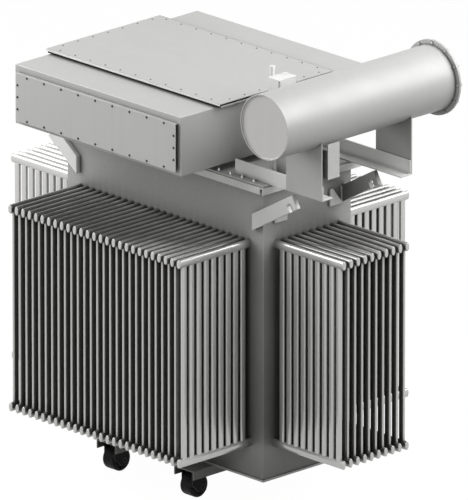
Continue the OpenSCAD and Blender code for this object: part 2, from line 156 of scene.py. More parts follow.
class TransformerRadiators(PropertyGroup):
    """Sizes of one radiator panel."""

    header_width: length("Header width", "Width of the oval header pipe", 0.028)
    header_height: length("Header height", "Height of the oval header pipe", 0.050)
    header_dome: length("Header dome", "Rounding of the header's closed tip", 0.006)
    collar: length("Weld collar", "Length of the weld collar at the wall", 0.014)
    collar_swell: length("Collar swell", "How far the weld collar stands off the header", 0.002)
    tube_width: length("Tube width", "Width of a flat tube, away from the wall", 0.038)
    tube_thickness: length("Tube thickness", "Thickness of a flat tube, along the wall", 0.018)
    tube_pitch: length("Tube pitch", "Distance from tube to tube", 0.054)
    first_tube: length("First tube", "Distance from the wall to the first tube", 0.053)
    tube_count: IntProperty(name="Tubes", description="Tubes in a panel", default=9, min=1)
    bank_panels: IntProperty(name="Side panels", description="Panels in a side bank", default=9, min=2)
    end_panels: IntProperty(name="End panels", description="Panels in an end bank", default=10, min=2)


class TransformerRollers(PropertyGroup):
    """Sizes of one cast roller."""

    bore: length("Bore radius", "Radius of the hole for the axle", 0.01405)
    hub: length("Hub radius", "Radius of the hub's face", 0.030)
    rim: length("Rim depth", "Depth of the rim under the tread", 0.017)
    dish: length("Dish", "How far the web lies in from the rim's face", 0.012)
    slope: length("Slope", "Draft of the cast web's walls", 0.004)
    rounding: length("Rounding", "Rounding of the roller's cast edges", 0.004)


class TransformerEdges(PropertyGroup):
    """How far edges are rounded."""

    tank: length("Tank corners", "Rounding of the tank's welded corners", 0.002)
    plate: length("Plate edges", "Rounding of rolled and cut plate edges", 0.0016)
    box: length("Box corners", "Rounding of the terminal box's bent corners", 0.004)
    bead: length("Weld bead", "Radius of the weld beads", 0.004)


class TransformerHardware(PropertyGroup):
    """Sizes and pitches of the bolts and screws, and of the sheets that they hold."""

    cover_bolt: length("Cover bolt", "Width across the corners of a cover bolt", 0.019)
    cover_pitch: length("Cover pitch", "Distance between cover bolts", 0.0885)
    cover_corner: length("Cover corner", "Distance from a corner of the rows to the first bolt", 0.072)
    beam_foot: length("Beam foot", "Width of a support beam's foot, kept clear of bolts", 0.086)
    flange_bolt: length("Drum bolt", "Width across the corners of a drum flange nut", 0.022)
    lid_screw: length("Lid screw", "Width of a lid screw", 0.009)
    lid_screw_inset: length("Lid screw inset", "Distance of the lid screws from the lid's edge", 0.028)
    lid_pitch: length("Lid pitch", "Distance between lid screws along the box", 0.1165)
    lid_side_pitch: length("Lid side pitch", "Distance between lid screws across the box", 0.110)
    lid_slack: length("Lid slack", "Length at the lid's right end left free of its row of screws", 0.011)
    lid_plate: length("Lid plate", "Thickness of the lid's sheet", 0.005)
    lid_rise: length("Lid rise", "How far the gasket lifts the lid", 0.004)
    lid_lip: length("Lid lip", "Depth of the lid's folded front and rear lips", 0.012)
    lip_proud: length("Lip stand-off", "How far a folded lip stands out from its sheet", 0.001)
    lid_rail: length("Lid rail", "Height of the rails under the lid's ends", 0.008)
    panel_screw: length("Panel screw", "Width of a panel screw", 0.014)
    panel_screw_inset: length("Panel screw inset", "Distance of the panel screws from the edge", 0.0135)
    panel_corner: length("Panel corner", "Shortest distance from a corner to the first screw of a row", 0.07)
    panel_pitch: length("Panel pitch", "Distance between panel screws along the box", 0.132)
    panel_plate: length("Panel plate", "Thickness of the access panel's sheet", 0.006)
    gasket_inset: length("Gasket inset", "How far a gasket lies in from the edge over it", 0.014)


class TransformerFittings(PropertyGroup):
    """Sizes of the drum's wall, the oil relay, the vent and the rating plate's rivets."""

    drum_wall: length("Drum wall", "Thickness of the drum's wall", 0.006)
    drum_edge: length("Drum edge", "Rounding of the drum's edges", 0.0012)
    relay_lid: length("Relay lid", "Thickness of the relay's lid", 0.004)
    relay_inset: length("Relay inset", "How far the relay lies in under its lid", 0.002)
    relay_corner: length("Relay corner", "Distance of the relay's screws from its edges", 0.012)
    relay_strip: length("Relay strip", "Width of the strip down the relay's corner", 0.007)
    strip_foot: share("Strip foot", "Share of the relay's height below the strip", 0.3)
    vent_cap: length("Vent cap", "Height of the vent's cap", 0.022)
    vent_lip: length("Vent lip", "How far the vent's cap stands out, and its rounding", 0.003)
    plate_corner: length("Plate corner", "Distance of the rivets from the plate's edges", 0.008)
    small_screw: length("Small screw", "Width of the relay's screws and the plate's rivets", 0.007)


class TransformerStage(PropertyGroup):
    """The camera and the studio light."""

    azimuth: angle("Azimuth", "Camera angle round the object", 46.05)
    elevation: angle("Elevation", "Camera angle above the horizon", 18.46)
    distance: length("Distance", "Distance from the camera to its target", 111.46)
    lens: FloatProperty(
        name="Lens", description="Focal length of the camera", default=1500.0, subtype="DISTANCE_CAMERA"
    )
    ambient: share("Ambient", "Brightness of the surroundings as light", 0.04)


def settings(group):
    """The scene's values of one property group."""
    return getattr(bpy.context.scene, "transformer_" + group)


def middle(node):
    """Centre of a solid's box."""
    low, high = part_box(node)
    return (low + high) / 2


def joined_box(nodes):
    """Lowest and highest corners of several solids together."""
    low = Vector(map(min, *(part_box(node)[0] for node in nodes)))
    high = Vector(map(max, *(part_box(node)[1] for node in nodes)))
    return low, high


def spread(start, end, pitch):
    """Even stations from start to end, about one pitch apart."""
    count = max(1, round((end - start) / pitch))
    return [start + (end - start) * index / count for index in range(count + 1)]


def centred(start, end, pitch):
    """Stations exactly one pitch apart, centred between start and end."""
    count = int((end - start) / pitch)
    first = (start + end - count * pitch) / 2
    return [first + index * pitch for index in range(count + 1)]


def standing(axis, centre):
    """Matrix that turns +Z along an axis and moves it to a centre."""
    turn = axis.to_track_quat("Z", "Y").to_matrix().to_4x4()
    return Matrix.Translation(centre) @ turn


def add_slab(bm, low, high):
    """Adds a block between two corners."""
    low, high = Vector(low), Vector(high)
    size = high - low
    matrix = Matrix.Translation((low + high) / 2) @ Matrix.Diagonal((*size, 1))
    bmesh.ops.create_cube(bm, size=1, matrix=matrix)


def add_rod(bm, start, end, radius, sides=24, end_radius=None):
    """Adds a closed rod or cone between two points and gives its vertices."""
    start, end = Vector(start), Vector(end)
    matrix = standing(end - start, (start + end) / 2)
    made = bmesh.ops.create_cone(
        bm,
        cap_ends=True,
        segments=sides,
        radius1=radius,
        radius2=radius if end_radius is None else end_radius,
        depth=(end - start).length,
        matrix=matrix,
    )
    return made["verts"]


def add_bead(bm, start, end):
    """Adds a weld bead along a seam."""
    add_rod(bm, start, end, settings("edges").bead, sides=8)


def add_hex_bolt(bm, seat, axis, width):
    """Adds a bolt head on its washer, standing on a seat."""
    seat = Vector(seat)
    washer = seat + axis * width * WASHER_RISE
    crown = washer + axis * width * HEAD_RISE
    add_rod(bm, seat, washer, width * WASHER_RADIUS, sides=12)
    add_rod(bm, washer, crown, width * HEAD_RADIUS, sides=6)


def add_stud(bm, seat, axis, width):
    """Adds a nut on a stud that stands through it."""
    seat = Vector(seat)
    add_rod(bm, seat, seat + axis * width * NUT_RISE, width * HEAD_RADIUS, sides=6)
    add_rod(bm, seat, seat + axis * width * STUD_RISE, width * STUD_RADIUS, sides=8)


def add_screw(bm, seat, axis, width):
    """Adds a low domed screw head, standing on a seat."""
    seat = Vector(seat)
    crown = seat + axis * width * SCREW_RISE
    add_rod(bm, seat, crown, width * HEAD_RADIUS, sides=10, end_radius=width * SCREW_CROWN)


def add_lathe(bm, profile, centre, axis, steps=64):
    """Spins a closed profile of (along, radius) points about an axis."""
    centre = Vector(centre)
    side = axis.orthogonal().normalized()
    ring = [bm.verts.new(centre + axis * along + side * radius) for along, radius in profile]
    edges = [bm.edges.new((ring[i - 1], ring[i])) for i in range(len(ring))]
    bmesh.ops.spin(
        bm, geom=ring + edges, cent=centre, axis=axis, angle=math.tau, steps=steps, use_merge=True
    )
    bmesh.ops.remove_doubles(bm, verts=bm.verts, dist=MERGE_DISTANCE)
    bmesh.ops.recalc_face_normals(bm, faces=bm.faces)


def bevel(bm, edges, width, segments, clamp=False):
    """Rounds the given edges."""
    bmesh.ops.bevel(
        bm,
        geom=edges,
        offset=width,
        offset_type="OFFSET",
        segments=segments,
        profile=ROUND_PROFILE,
        affect="EDGES",
        clamp_overlap=clamp,
        material=-1,
    )


def soften(bm, width, segments=2, sharper_than=30.0):
    """Rounds every edge that turns more than an angle in degrees."""
    limit = math.radians(sharper_than)
    sharp = [edge for edge in bm.edges if edge.is_manifold and edge.calc_face_angle(0.0) > limit]
    bevel(bm, sharp, width, segments, clamp=True)


def solid_copy(*nodes):
    """A bmesh of the named solids with their loose triangles joined."""
    bm = bmesh.new()
    for node in nodes:
        bm.from_mesh(frame["nodes"][node].data)
    bmesh.ops.remove_doubles(bm, verts=bm.verts, dist=MERGE_DISTANCE)
    bmesh.ops.dissolve_limit(bm, angle_limit=FLAT_ANGLE, verts=bm.verts, edges=bm.edges)
    return bm


def as_mesh(name, bm):
    """Turns a bmesh into a mesh."""
    mesh = bpy.data.meshes.new(name)
    bm.to_mesh(mesh)
    bm.free()
    return mesh


def add_piece(name, bm, finish, body=TANK, replaced=()):
    """Makes a finished piece of a bmesh, riding on a body in place of its solids."""
    mesh = as_mesh(name, bm)
    mesh.materials.append(FINISHES[finish])
    mesh.shade_smooth()
    mesh.set_sharp_from_angle(angle=SMOOTH_ANGLE)
    piece = bpy.data.objects.new(name, mesh)
    bpy.context.scene.collection.objects.link(piece)
    weighted = piece.modifiers.new("even_shading", "WEIGHTED_NORMAL")
    weighted.keep_sharp = True
    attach(piece, body)
    if replaced:
        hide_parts(*replaced)


class Finish:
    """The node tree of one material, with short calls for the nodes it needs."""

    def __init__(self, name, metallic=0.0, specular=0.5):
        self.material = bpy.data.materials.new(name)
        self.material.use_nodes = True
        self.tree = self.material.node_tree
        self.shader = self.tree.nodes["Principled BSDF"]
        self.shader.inputs["Metallic"].default_value = metallic
        self.shader.inputs["Specular IOR Level"].default_value = specular
        self.place = self.node("ShaderNodeTexCoord").outputs["Object"]

    def node(self, kind, inputs=None, **values):
        """Adds a node, with links or values for its inputs."""
        made = self.tree.nodes.new(kind)
        for name, value in values.items():
            setattr(made, name, value)
        for socket, value in (inputs or {}).items():
            if isinstance(value, bpy.types.NodeSocket):
                self.tree.links.new(value, made.inputs[socket])
            else:
                made.inputs[socket].default_value = value
        return made

    def noise(self, scale, detail=2.0, stretch=(1, 1, 1)):
        where = self.node("ShaderNodeMapping", {"Vector": self.place, "Scale": stretch})
        inputs = {"Vector": where.outputs["Vector"], "Scale": scale, "Detail": detail}
        return self.node("ShaderNodeTexNoise", inputs).outputs["Fac"]

    def remap(self, value, low, high, to_low, to_high):
        inputs = {"Value": value, "From Min": low, "From Max": high, "To Min": to_low, "To Max": to_high}
        return self.node("ShaderNodeMapRange", inputs, clamp=True).outputs["Result"]

    def mottle(self, scale, detail, to_low, to_high):
        """Noise spread between two values."""
        return self.remap(self.noise(scale, detail), NOISE_LOW, NOISE_HIGH, to_low, to_high)

    def maths(self, operation, first, second):
        return self.node("ShaderNodeMath", {0: first, 1: second}, operation=operation).outputs["Value"]

    def mix(self, amount, first, second):
        made = self.node("ShaderNodeMix", {0: amount, 6: first, 7: second}, data_type="RGBA")
        return made.outputs[2]

    def tinted(self, rgb, *factors):
        """A colour multiplied by grey factors."""
        total = factors[0]
        for factor in factors[1:]:
            total = self.maths("MULTIPLY", total, factor)
        grey = self.node("ShaderNodeCombineColor", {0: total, 1: total, 2: total}).outputs["Color"]
        made = self.node("ShaderNodeMix", {0: 1.0, 6: (*rgb, 1), 7: grey}, data_type="RGBA")
        made.blend_type = "MULTIPLY"
        return made.outputs[2]

    def facing_up(self):
        """1 on level upper faces, 0 on walls and undersides."""
        normal = self.node("ShaderNodeNewGeometry").outputs["Normal"]
        height = self.node("ShaderNodeSeparateXYZ", {0: normal}).outputs["Z"]
        return self.remap(height, 0.6, 0.98, 0.0, 1.0)

    def height(self):
        """Height over the floor in metres."""
        return self.node("ShaderNodeSeparateXYZ", {0: self.place}).outputs["Z"]

    def edges(self, width):
        """1 on edges that stand out, falling to 0 a width away from them."""
        rounded = self.node("ShaderNodeBevel", {"Radius": width}, samples=4).outputs["Normal"]
        flat = self.node("ShaderNodeNewGeometry").outputs["Normal"]
        turned = self.node("ShaderNodeVectorMath", {0: rounded, 1: flat}, operation="DOT_PRODUCT")
        near = self.remap(turned.outputs["Value"], 0.99, 0.9, 0.0, 1.0)
        return self.maths("MULTIPLY", near, self.remap(self.openness(width * 5), 0.58, 0.8, 0.0, 1.0))

    def openness(self, reach):
        """1 in the open, falling to 0 in deep recesses."""
        return self.node("ShaderNodeAmbientOcclusion", {"Distance": reach}, samples=6).outputs["AO"]

    def finish(self, base, roughness, relief, relief_depth):
        """Links the shader and gives the material."""
        self.tree.links.new(base, self.shader.inputs["Base Color"])
        self.tree.links.new(roughness, self.shader.inputs["Roughness"])
        bump = self.node("ShaderNodeBump", {"Strength": 0.5, "Distance": relief_depth, "Height": relief})
        self.tree.links.new(bump.outputs["Normal"], self.shader.inputs["Normal"])
        return self.material


NOISE_LOW = 0.3
NOISE_HIGH = 0.7
EDGE_WIDTH = 0.005
PEEL_DEPTH = 0.0001
DUST_ROUGHNESS = 0.1
# Colour mixed into edges that stand out: a painted highlight.
PAINTED_EDGE_HIGHLIGHT = (0.84, 0.84, 0.82, 1)
DUST = (0.62, 0.61, 0.58, 1)
# Dark colour laid on the radiators' upper faces: painted shade.
PAINTED_TOP_SHADE = (0.06, 0.06, 0.06, 1)
# Heights in metres over which the paint darkens towards the floor: painted shade.
FOOT_SHADE_BOTTOM = 0.2
FOOT_SHADE_TOP = 1.0


def painted(
    name, rgb, roughness, shade_depth, metal=0.0, specular=0.5, reach=0.06, closed_at=0.25, open_at=0.85,
    dust_and_top_shade=0.06, dust_and_shade_colour=DUST, pale=0.45, foot_shade=0.0,
):
    """Sprayed enamel on steel: orange peel, faint runs, painted shade in recesses and near the floor, a
    speckled dusting on upper faces that is painted shade where its colour is dark, and painted highlights on
    edges.
    """
    paint = Finish(name, metallic=metal, specular=specular)
    # Painted shade: the occlusion within reach darkens the paint in recesses and corners, where shade falls.
    open_share = paint.openness(reach)
    patches = paint.mottle(1.6, 2.0, 0.985, 1.015)
    runs = paint.remap(paint.noise(1.0, 2.0, stretch=(30, 30, 0.9)), 0.35, 0.75, 1.01, 0.985)
    recess = paint.remap(open_share, closed_at, open_at, 1.0 - shade_depth, 1.0)
    # Painted shade: darker towards the floor, where little light comes from below.
    foot = paint.remap(paint.height(), FOOT_SHADE_BOTTOM, FOOT_SHADE_TOP, 1.0 - foot_shade, 1.0)
    base = paint.tinted(rgb, patches, runs, recess, foot)
    # Upper faces take a speckled tint: a real dusting where the colour is light, painted shade where it is
    # dark.
    specks = paint.remap(paint.noise(9.0, 5.0), 0.4, 0.75, 0.1, 1.0)
    dust_and_shade_on_top = paint.maths("MULTIPLY", paint.facing_up(), specks)
    base = paint.mix(paint.maths("MULTIPLY", dust_and_shade_on_top, dust_and_top_shade), base, dust_and_shade_colour)
    # Painted highlight: convex edges turn pale where they would catch the light, broken up by noise.
    if pale:
        scuffs_and_highlight_breakup = paint.remap(paint.noise(26.0, 4.0), 0.35, 0.6, 0.5 * pale, pale)
        base = paint.mix(paint.maths("MULTIPLY", paint.edges(EDGE_WIDTH), scuffs_and_highlight_breakup), base, PAINTED_EDGE_HIGHLIGHT)
    gloss = paint.mottle(7.0, 4.0, roughness - 0.04, roughness + 0.05)
    gloss = paint.maths("ADD", gloss, paint.maths("MULTIPLY", dust_and_shade_on_top, DUST_ROUGHNESS))
    return paint.finish(base, gloss, paint.noise(310.0, 1.5), PEEL_DEPTH)


def plated(name, rgb, roughness, metallic=1.0):
    """Plated or blackened hardware with a mottled skin."""
    skin = Finish(name, metallic=metallic)
    base = skin.tinted(rgb, skin.mottle(45.0, 5.0, 0.82, 1.08))
    gloss = skin.mottle(90.0, 3.0, roughness - 0.08, roughness + 0.1)
    return skin.finish(base, gloss, skin.noise(520.0, 2.0), 0.0002)


def cast_iron(name, rgb):
    """Sand-cast rollers: grainy skin with a scuffed, dusty tread."""
    iron = Finish(name, specular=0.08)
    grain = iron.noise(240.0, 4.0)
    scuffs_and_highlight_breakup = iron.remap(iron.noise(30.0, 5.0), 0.5, 0.72, 1.0, 2.6)
    base = iron.tinted(rgb, scuffs_and_highlight_breakup, iron.remap(grain, NOISE_LOW, NOISE_HIGH, 0.8, 1.2))
    gloss = iron.mottle(22.0, 4.0, 0.42, 0.62)
    return iron.finish(base, gloss, grain, 0.0007)


def moulded_rubber(name, rgb):
    """Gasket rubber with a fine matt grain."""
    rubber = Finish(name, specular=0.1)
    base = rubber.tinted(rgb, rubber.mottle(60.0, 4.0, 0.75, 1.3))
    gloss = rubber.mottle(120.0, 2.0, 0.65, 0.85)
    return rubber.finish(base, gloss, rubber.noise(700.0, 2.0), 0.0003)


def brushed(name, rgb):
    """Brushed plate metal with its grain across the plate."""
    metal = Finish(name, metallic=0.85)
    grain = metal.noise(1.0, 3.0, stretch=(60, 14, 1400))
    base = metal.tinted(rgb, metal.remap(grain, NOISE_LOW, NOISE_HIGH, 0.88, 1.08))
    gloss = metal.remap(grain, NOISE_LOW, NOISE_HIGH, 0.3, 0.46)
    return metal.finish(base, gloss, grain, 0.00012)


def make_finishes():
    """Makes every paint and metal once."""
    look = settings("finishes")
    shade_depth = look.recess_shade
    sheet = {"rgb": look.grey, "metal": 0.15, "roughness": look.grey_gloss}
    drum = {**sheet, "roughness": look.drum_gloss}
    # The lighter radiator copy for the lit left end bank: painted light.
    far = look.far_radiator
    gloss = look.radiator_gloss
    FINISHES.update(
        # Grey paint: painted shade in tight corners and painted highlights on edges.
        grey=painted("grey_enamel", shade_depth=shade_depth, reach=0.08, closed_at=0.4, open_at=0.97, **sheet),
        # Tank paint: painted shade over a long reach under the overhangs, and painted shade near the floor.
        tank=painted(
            "tank_enamel", shade_depth=0.85, reach=0.32, closed_at=0.3, open_at=0.97, pale=0.1, foot_shade=0.45, **sheet
        ),
        # Painted highlights on nearly every edge, with painted shade in tight corners.
        edged=painted(
            "edged_enamel", shade_depth=shade_depth, reach=0.015, closed_at=0.3, open_at=0.9, pale=0.95, **sheet
        ),
        # Drum paint: painted shade at the rims and painted highlights on edges.
        drum=painted("drum_enamel", shade_depth=shade_depth, reach=0.016, closed_at=0.4, open_at=0.97, **drum),
        # A lighter copy of the grey paint for the end disc: painted light.
        disc=painted("lit_disc_enamel", look.disc, look.drum_gloss, shade_depth, metal=0.1, reach=0.012),
        # Radiators: deep painted shade between the tubes, and painted shade on upper faces.
        radiator=painted(
            "radiator_enamel", look.radiator, gloss, shade_depth=0.9, metal=0.45, specular=0.15, reach=0.075,
            closed_at=0.46, open_at=0.97, dust_and_top_shade=0.75, dust_and_shade_colour=PAINTED_TOP_SHADE, pale=0.0,
        ),
        # A lighter copy of the radiator paint with less painted shade: painted light.
        far_radiator=painted(
            "far_radiator_enamel", far, gloss, shade_depth=0.75, metal=0.3, specular=0.3, reach=0.03, pale=0.0
        ),
        # A lighter copy of the grey paint for parts that catch the light: painted light.
        fitting=painted("fitting_enamel", look.fitting, roughness=0.36, shade_depth=shade_depth, metal=0.15, reach=0.04),
        # Undercarriage: painted shade over a long reach and strong painted highlights on edges.
        dark=painted(
            "undercarriage_enamel", look.dark, roughness=0.42, shade_depth=0.65, specular=0.2, reach=0.2, pale=0.9
        ),
        # Fork paint: painted shade in recesses and painted highlights on edges.
        black=painted("fork_enamel", look.black, roughness=0.4, shade_depth=0.3, specular=0.06, dust_and_top_shade=0.02),
        white=painted("white_enamel", look.white, roughness=0.3, shade_depth=0.1, reach=0.02, dust_and_top_shade=0.02, pale=0.0),
        iron=cast_iron("roller_iron", look.iron),
        zinc=plated("zinc_plate", look.zinc, roughness=0.34),
        screw=plated("dark_screw", look.screw, roughness=0.42, metallic=0.7),
        rubber=moulded_rubber("gasket_rubber", look.rubber),
        plate=brushed("brushed_plate", look.plate),
    )


def clean_copy(name, node, finish, share_of_edge=1.0):
    """A solid with its plate edges rounded, in its place."""
    bm = solid_copy(node)
    soften(bm, settings("edges").plate * share_of_edge)
    add_piece(name, bm, finish, replaced=(node,))


def ring_of_beads(low, high, level):
    """Bead ends round a rectangle at one level."""
    corners = [(low.x, low.y), (high.x, low.y), (high.x, high.y), (low.x, high.y)]
    points = [Vector((x, y, level)) for x, y in corners]
    return [(points[i - 1], points[i]) for i in range(len(points))]


class TRANSFORMER_OT_stage(Operator):
    """Set up the camera, the studio light and the pale floor"""

    bl_idname = "transformer.stage"
    bl_label = "Stage"

    def execute(self, context):
        scene = context.scene
        scene.view_settings.view_transform = "Standard"
        self.add_camera(scene)
        self.light_world(scene)
        self.add_floor(scene)
        self.add_lamps(scene)
        return {"FINISHED"}

    def aim(self, scene, name, data, target, azimuth, elevation, distance):
        """Holds a camera or a lamp at a distance from its target, facing it."""
        level = math.cos(elevation)
        back = Vector((math.sin(azimuth) * level, -math.cos(azimuth) * level, math.sin(elevation)))
        holder = bpy.data.objects.new(name, data)
        holder.location = target + back * distance
        holder.rotation_euler = (-back).to_track_quat("-Z", "Y").to_euler()
        scene.collection.objects.link(holder)
        return holder

    def add_camera(self, scene):
        stage = settings("stage")
        name = "view_camera"
        camera = bpy.data.cameras.new(name)
        camera.lens = stage.lens
        camera.sensor_width = SENSOR_WIDTH
        camera.clip_end = FAR_CLIP
        scene.camera = self.aim(
            scene, name, camera, CAMERA_TARGET, stage.azimuth, stage.elevation, stage.distance
        )

    def seen_directly(self, tree):
        """1 for rays from the camera, from gloss and through glass."""
        path = tree.nodes.new("ShaderNodeLightPath")
        total = path.outputs["Is Camera Ray"]
        for name in ("Is Glossy Ray", "Is Transmission Ray"):
            either = tree.nodes.new("ShaderNodeMath")
            either.operation = "MAXIMUM"
            tree.links.new(total, either.inputs[0])
            tree.links.new(path.outputs[name], either.inputs[1])
            total = either.outputs["Value"]
        return total

    def choose(self, tree, unseen, seen, output):
        """Shows one shader to rays that see it directly, and another to the rest."""
        choice = tree.nodes.new("ShaderNodeMixShader")
        tree.links.new(self.seen_directly(tree), choice.inputs[0])
        tree.links.new(unseen.outputs[0], choice.inputs[1])
        tree.links.new(seen.outputs[0], choice.inputs[2])
        tree.links.new(choice.outputs[0], output.inputs["Surface"])

    def light_world(self, scene):
        world = bpy.data.worlds.new("studio")
        world.use_nodes = True
        scene.world = world
        tree = world.node_tree
        shown = tree.nodes["Background"]
        shown.inputs["Color"].default_value = WHITE
        ambient = tree.nodes.new("ShaderNodeBackground")
        ambient.inputs["Color"].default_value = WHITE
        ambient.inputs["Strength"].default_value = settings("stage").ambient
        self.choose(tree, ambient, shown, tree.nodes["World Output"])

    def add_floor(self, scene):
        bm = bmesh.new()
        bmesh.ops.create_grid(bm, x_segments=1, y_segments=1, size=FLOOR_SIZE)
        mesh = as_mesh("studio_floor", bm)
        mesh.materials.append(self.floor_material())
        floor = bpy.data.objects.new("studio_floor", mesh)
        scene.collection.objects.link(floor)

    def floor_material(self):
        material = bpy.data.materials.new("pale_floor")
        material.use_nodes = True
        tree = material.node_tree
        glow = tree.nodes.new("ShaderNodeEmission")
        glow.inputs["Strength"].default_value = FLOOR_GLOW
        shade = tree.nodes.new("ShaderNodeBsdfDiffuse")
        shade.inputs["Color"].default_value = FLOOR_SHADE
        both = tree.nodes.new("ShaderNodeAddShader")
        tree.links.new(glow.outputs[0], both.inputs[0])
        tree.links.new(shade.outputs[0], both.inputs[1])
        bounce = tree.nodes.new("ShaderNodeBsdfDiffuse")
        bounce.inputs["Color"].default_value = FLOOR_BOUNCE
        self.choose(tree, bounce, both, tree.nodes["Material Output"])
        return material

    def add_lamp(self, scene, name, azimuth, elevation, width, height, power):
        """A soft box aimed at the object from an azimuth and an elevation in degrees."""
        lamp = bpy.data.lights.new(name, "AREA")
        lamp.shape = "RECTANGLE"
        lamp.size = width
        lamp.size_y = height
        lamp.energy = power
        turn, tilt = math.radians(azimuth), math.radians(elevation)
        holder = self.aim(scene, name, lamp, LAMP_TARGET, turn, tilt, LAMP_DISTANCE)
        holder.visible_camera = False

    def add_lamps(self, scene):
        lamp = self.add_lamp
        lamp(scene, "left_soft_box", azimuth=312, elevation=34, width=5.0, height=4.0, power=310.0)
        lamp(scene, "right_soft_box", azimuth=127, elevation=41, width=5.0, height=5.0, power=350.0)
        lamp(scene, "back_soft_box", azimuth=180, elevation=66, width=4.0, height=3.0, power=45.0)
        lamp(scene, "front_fill", azimuth=26, elevation=16, width=4.0, height=2.5, power=66.0)


class TRANSFORMER_OT_tank(Operator):
    """Build the tank, its base plate, rim flange and bolted cover"""

    bl_idname = "transformer.tank"
    bl_label = "Tank and cover"

    def execute(self, context):
        self.add_shell()
        clean_copy("bottom_plate", "base_plate", "edged")
        # The rim bars take the lighter grey: painted light on the rim.
        clean_copy("rim_long_bars", "flange_long_bars", "fitting")
        clean_copy("rim_end_bars", "flange_end_bars", "fitting")
        clean_copy("cover_plate", "tank_cover", "edged")
        self.add_bolts()
        return {"FINISHED"}

    def add_shell(self):
        walls = ("tank_front_wall", "tank_rear_wall", "tank_end_walls")
        low, high = joined_box(walls)
        bm = bmesh.new()
        add_slab(bm, low, high)
        upright = [edge for edge in bm.edges if edge.verts[0].co.xy == edge.verts[1].co.xy]
        bevel(bm, upright, settings("edges").tank, segments=4)
        rim_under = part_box("flange_long_bars")[0].z
        for level in (low.z, rim_under):
            for start, end in ring_of_beads(low, high, level):
                add_bead(bm, start, end)
        add_piece("tank_shell", bm, "tank", replaced=walls)

    def add_bolts(self):
        sizes = settings("hardware")
        low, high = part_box("flange_long_bars")
        cover_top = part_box("tank_cover")[1].z
        wall_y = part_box("tank_rear_wall")[1].y
        wall_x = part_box("tank_end_walls")[1].x
        row_y = (wall_y + high.y) / 2
        row_x = (wall_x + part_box("flange_end_bars")[1].x) / 2
        end_x = row_x - sizes.cover_corner
        end_y = row_y - sizes.cover_corner
        spots = []
        for x in spread(-end_x, end_x, sizes.cover_pitch):
            spots += [(x, row_y), (x, -row_y)]
        for y in spread(-end_y, end_y, sizes.cover_pitch):
            spots += [(row_x, y), (-row_x, y)]
        beam_low, beam_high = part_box("support_angles")
        inner = beam_high.y - sizes.beam_foot
        clear = [
            (x, y)
            for x, y in spots
            if x < beam_low.x - sizes.cover_bolt or not inner < abs(y) < beam_high.y + sizes.cover_bolt
        ]
        heads = bmesh.new()
        nuts = bmesh.new()
        for x, y in clear:
            add_stud(heads, (x, y, cover_top), Z_AXIS, sizes.cover_bolt)
            add_hex_bolt(nuts, (x, y, low.z), -Z_AXIS, sizes.cover_bolt)
        add_piece("cover_bolts", heads, "zinc")
        add_piece("cover_nuts", nuts, "grey")


class TRANSFORMER_OT_undercarriage(Operator):
    """Build the base channels, the roller forks and the axles"""

    bl_idname = "transformer.undercarriage"
    bl_label = "Undercarriage"

    def execute(self, context):
        clean_copy("skid_channels", "base_channels", "dark")
        clean_copy("fork_plates", "wheel_forks", "black")
        clean_copy("axle_pins", "wheel_axles", "black")
        return {"FINISHED"}


class TRANSFORMER_OT_rollers(Operator):
    """Build the four cast rollers on their own axles"""

    bl_idname = "transformer.rollers"
    bl_label = "Rollers"

    def execute(self, context):
        for end in ("front", "rear"):
            for side in ("left", "right"):
                self.add_roller(end + "_" + side)
        return {"FINISHED"}

    def add_roller(self, corner):
        node = corner + "_wheel"
        low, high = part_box(node)
        radius = (high.z - low.z) / 2
        half = (high.x - low.x) / 2
        sizes = settings("rollers")
        rim = radius - sizes.rim
        web = half - sizes.dish
        right = [
            (half, radius),
            (half, rim),
            (web, rim - sizes.slope),
            (web, sizes.hub + sizes.slope),
            (half, sizes.hub),
            (half, sizes.bore),
        ]
        left = [(-along, out) for along, out in reversed(right)]
        bm = bmesh.new()
        add_lathe(bm, left + right, middle(node), X_AXIS, steps=56)
        soften(bm, sizes.rounding, segments=3, sharper_than=25.0)
        add_piece("roller_" + corner, bm, "iron", node + "_body", (node,))


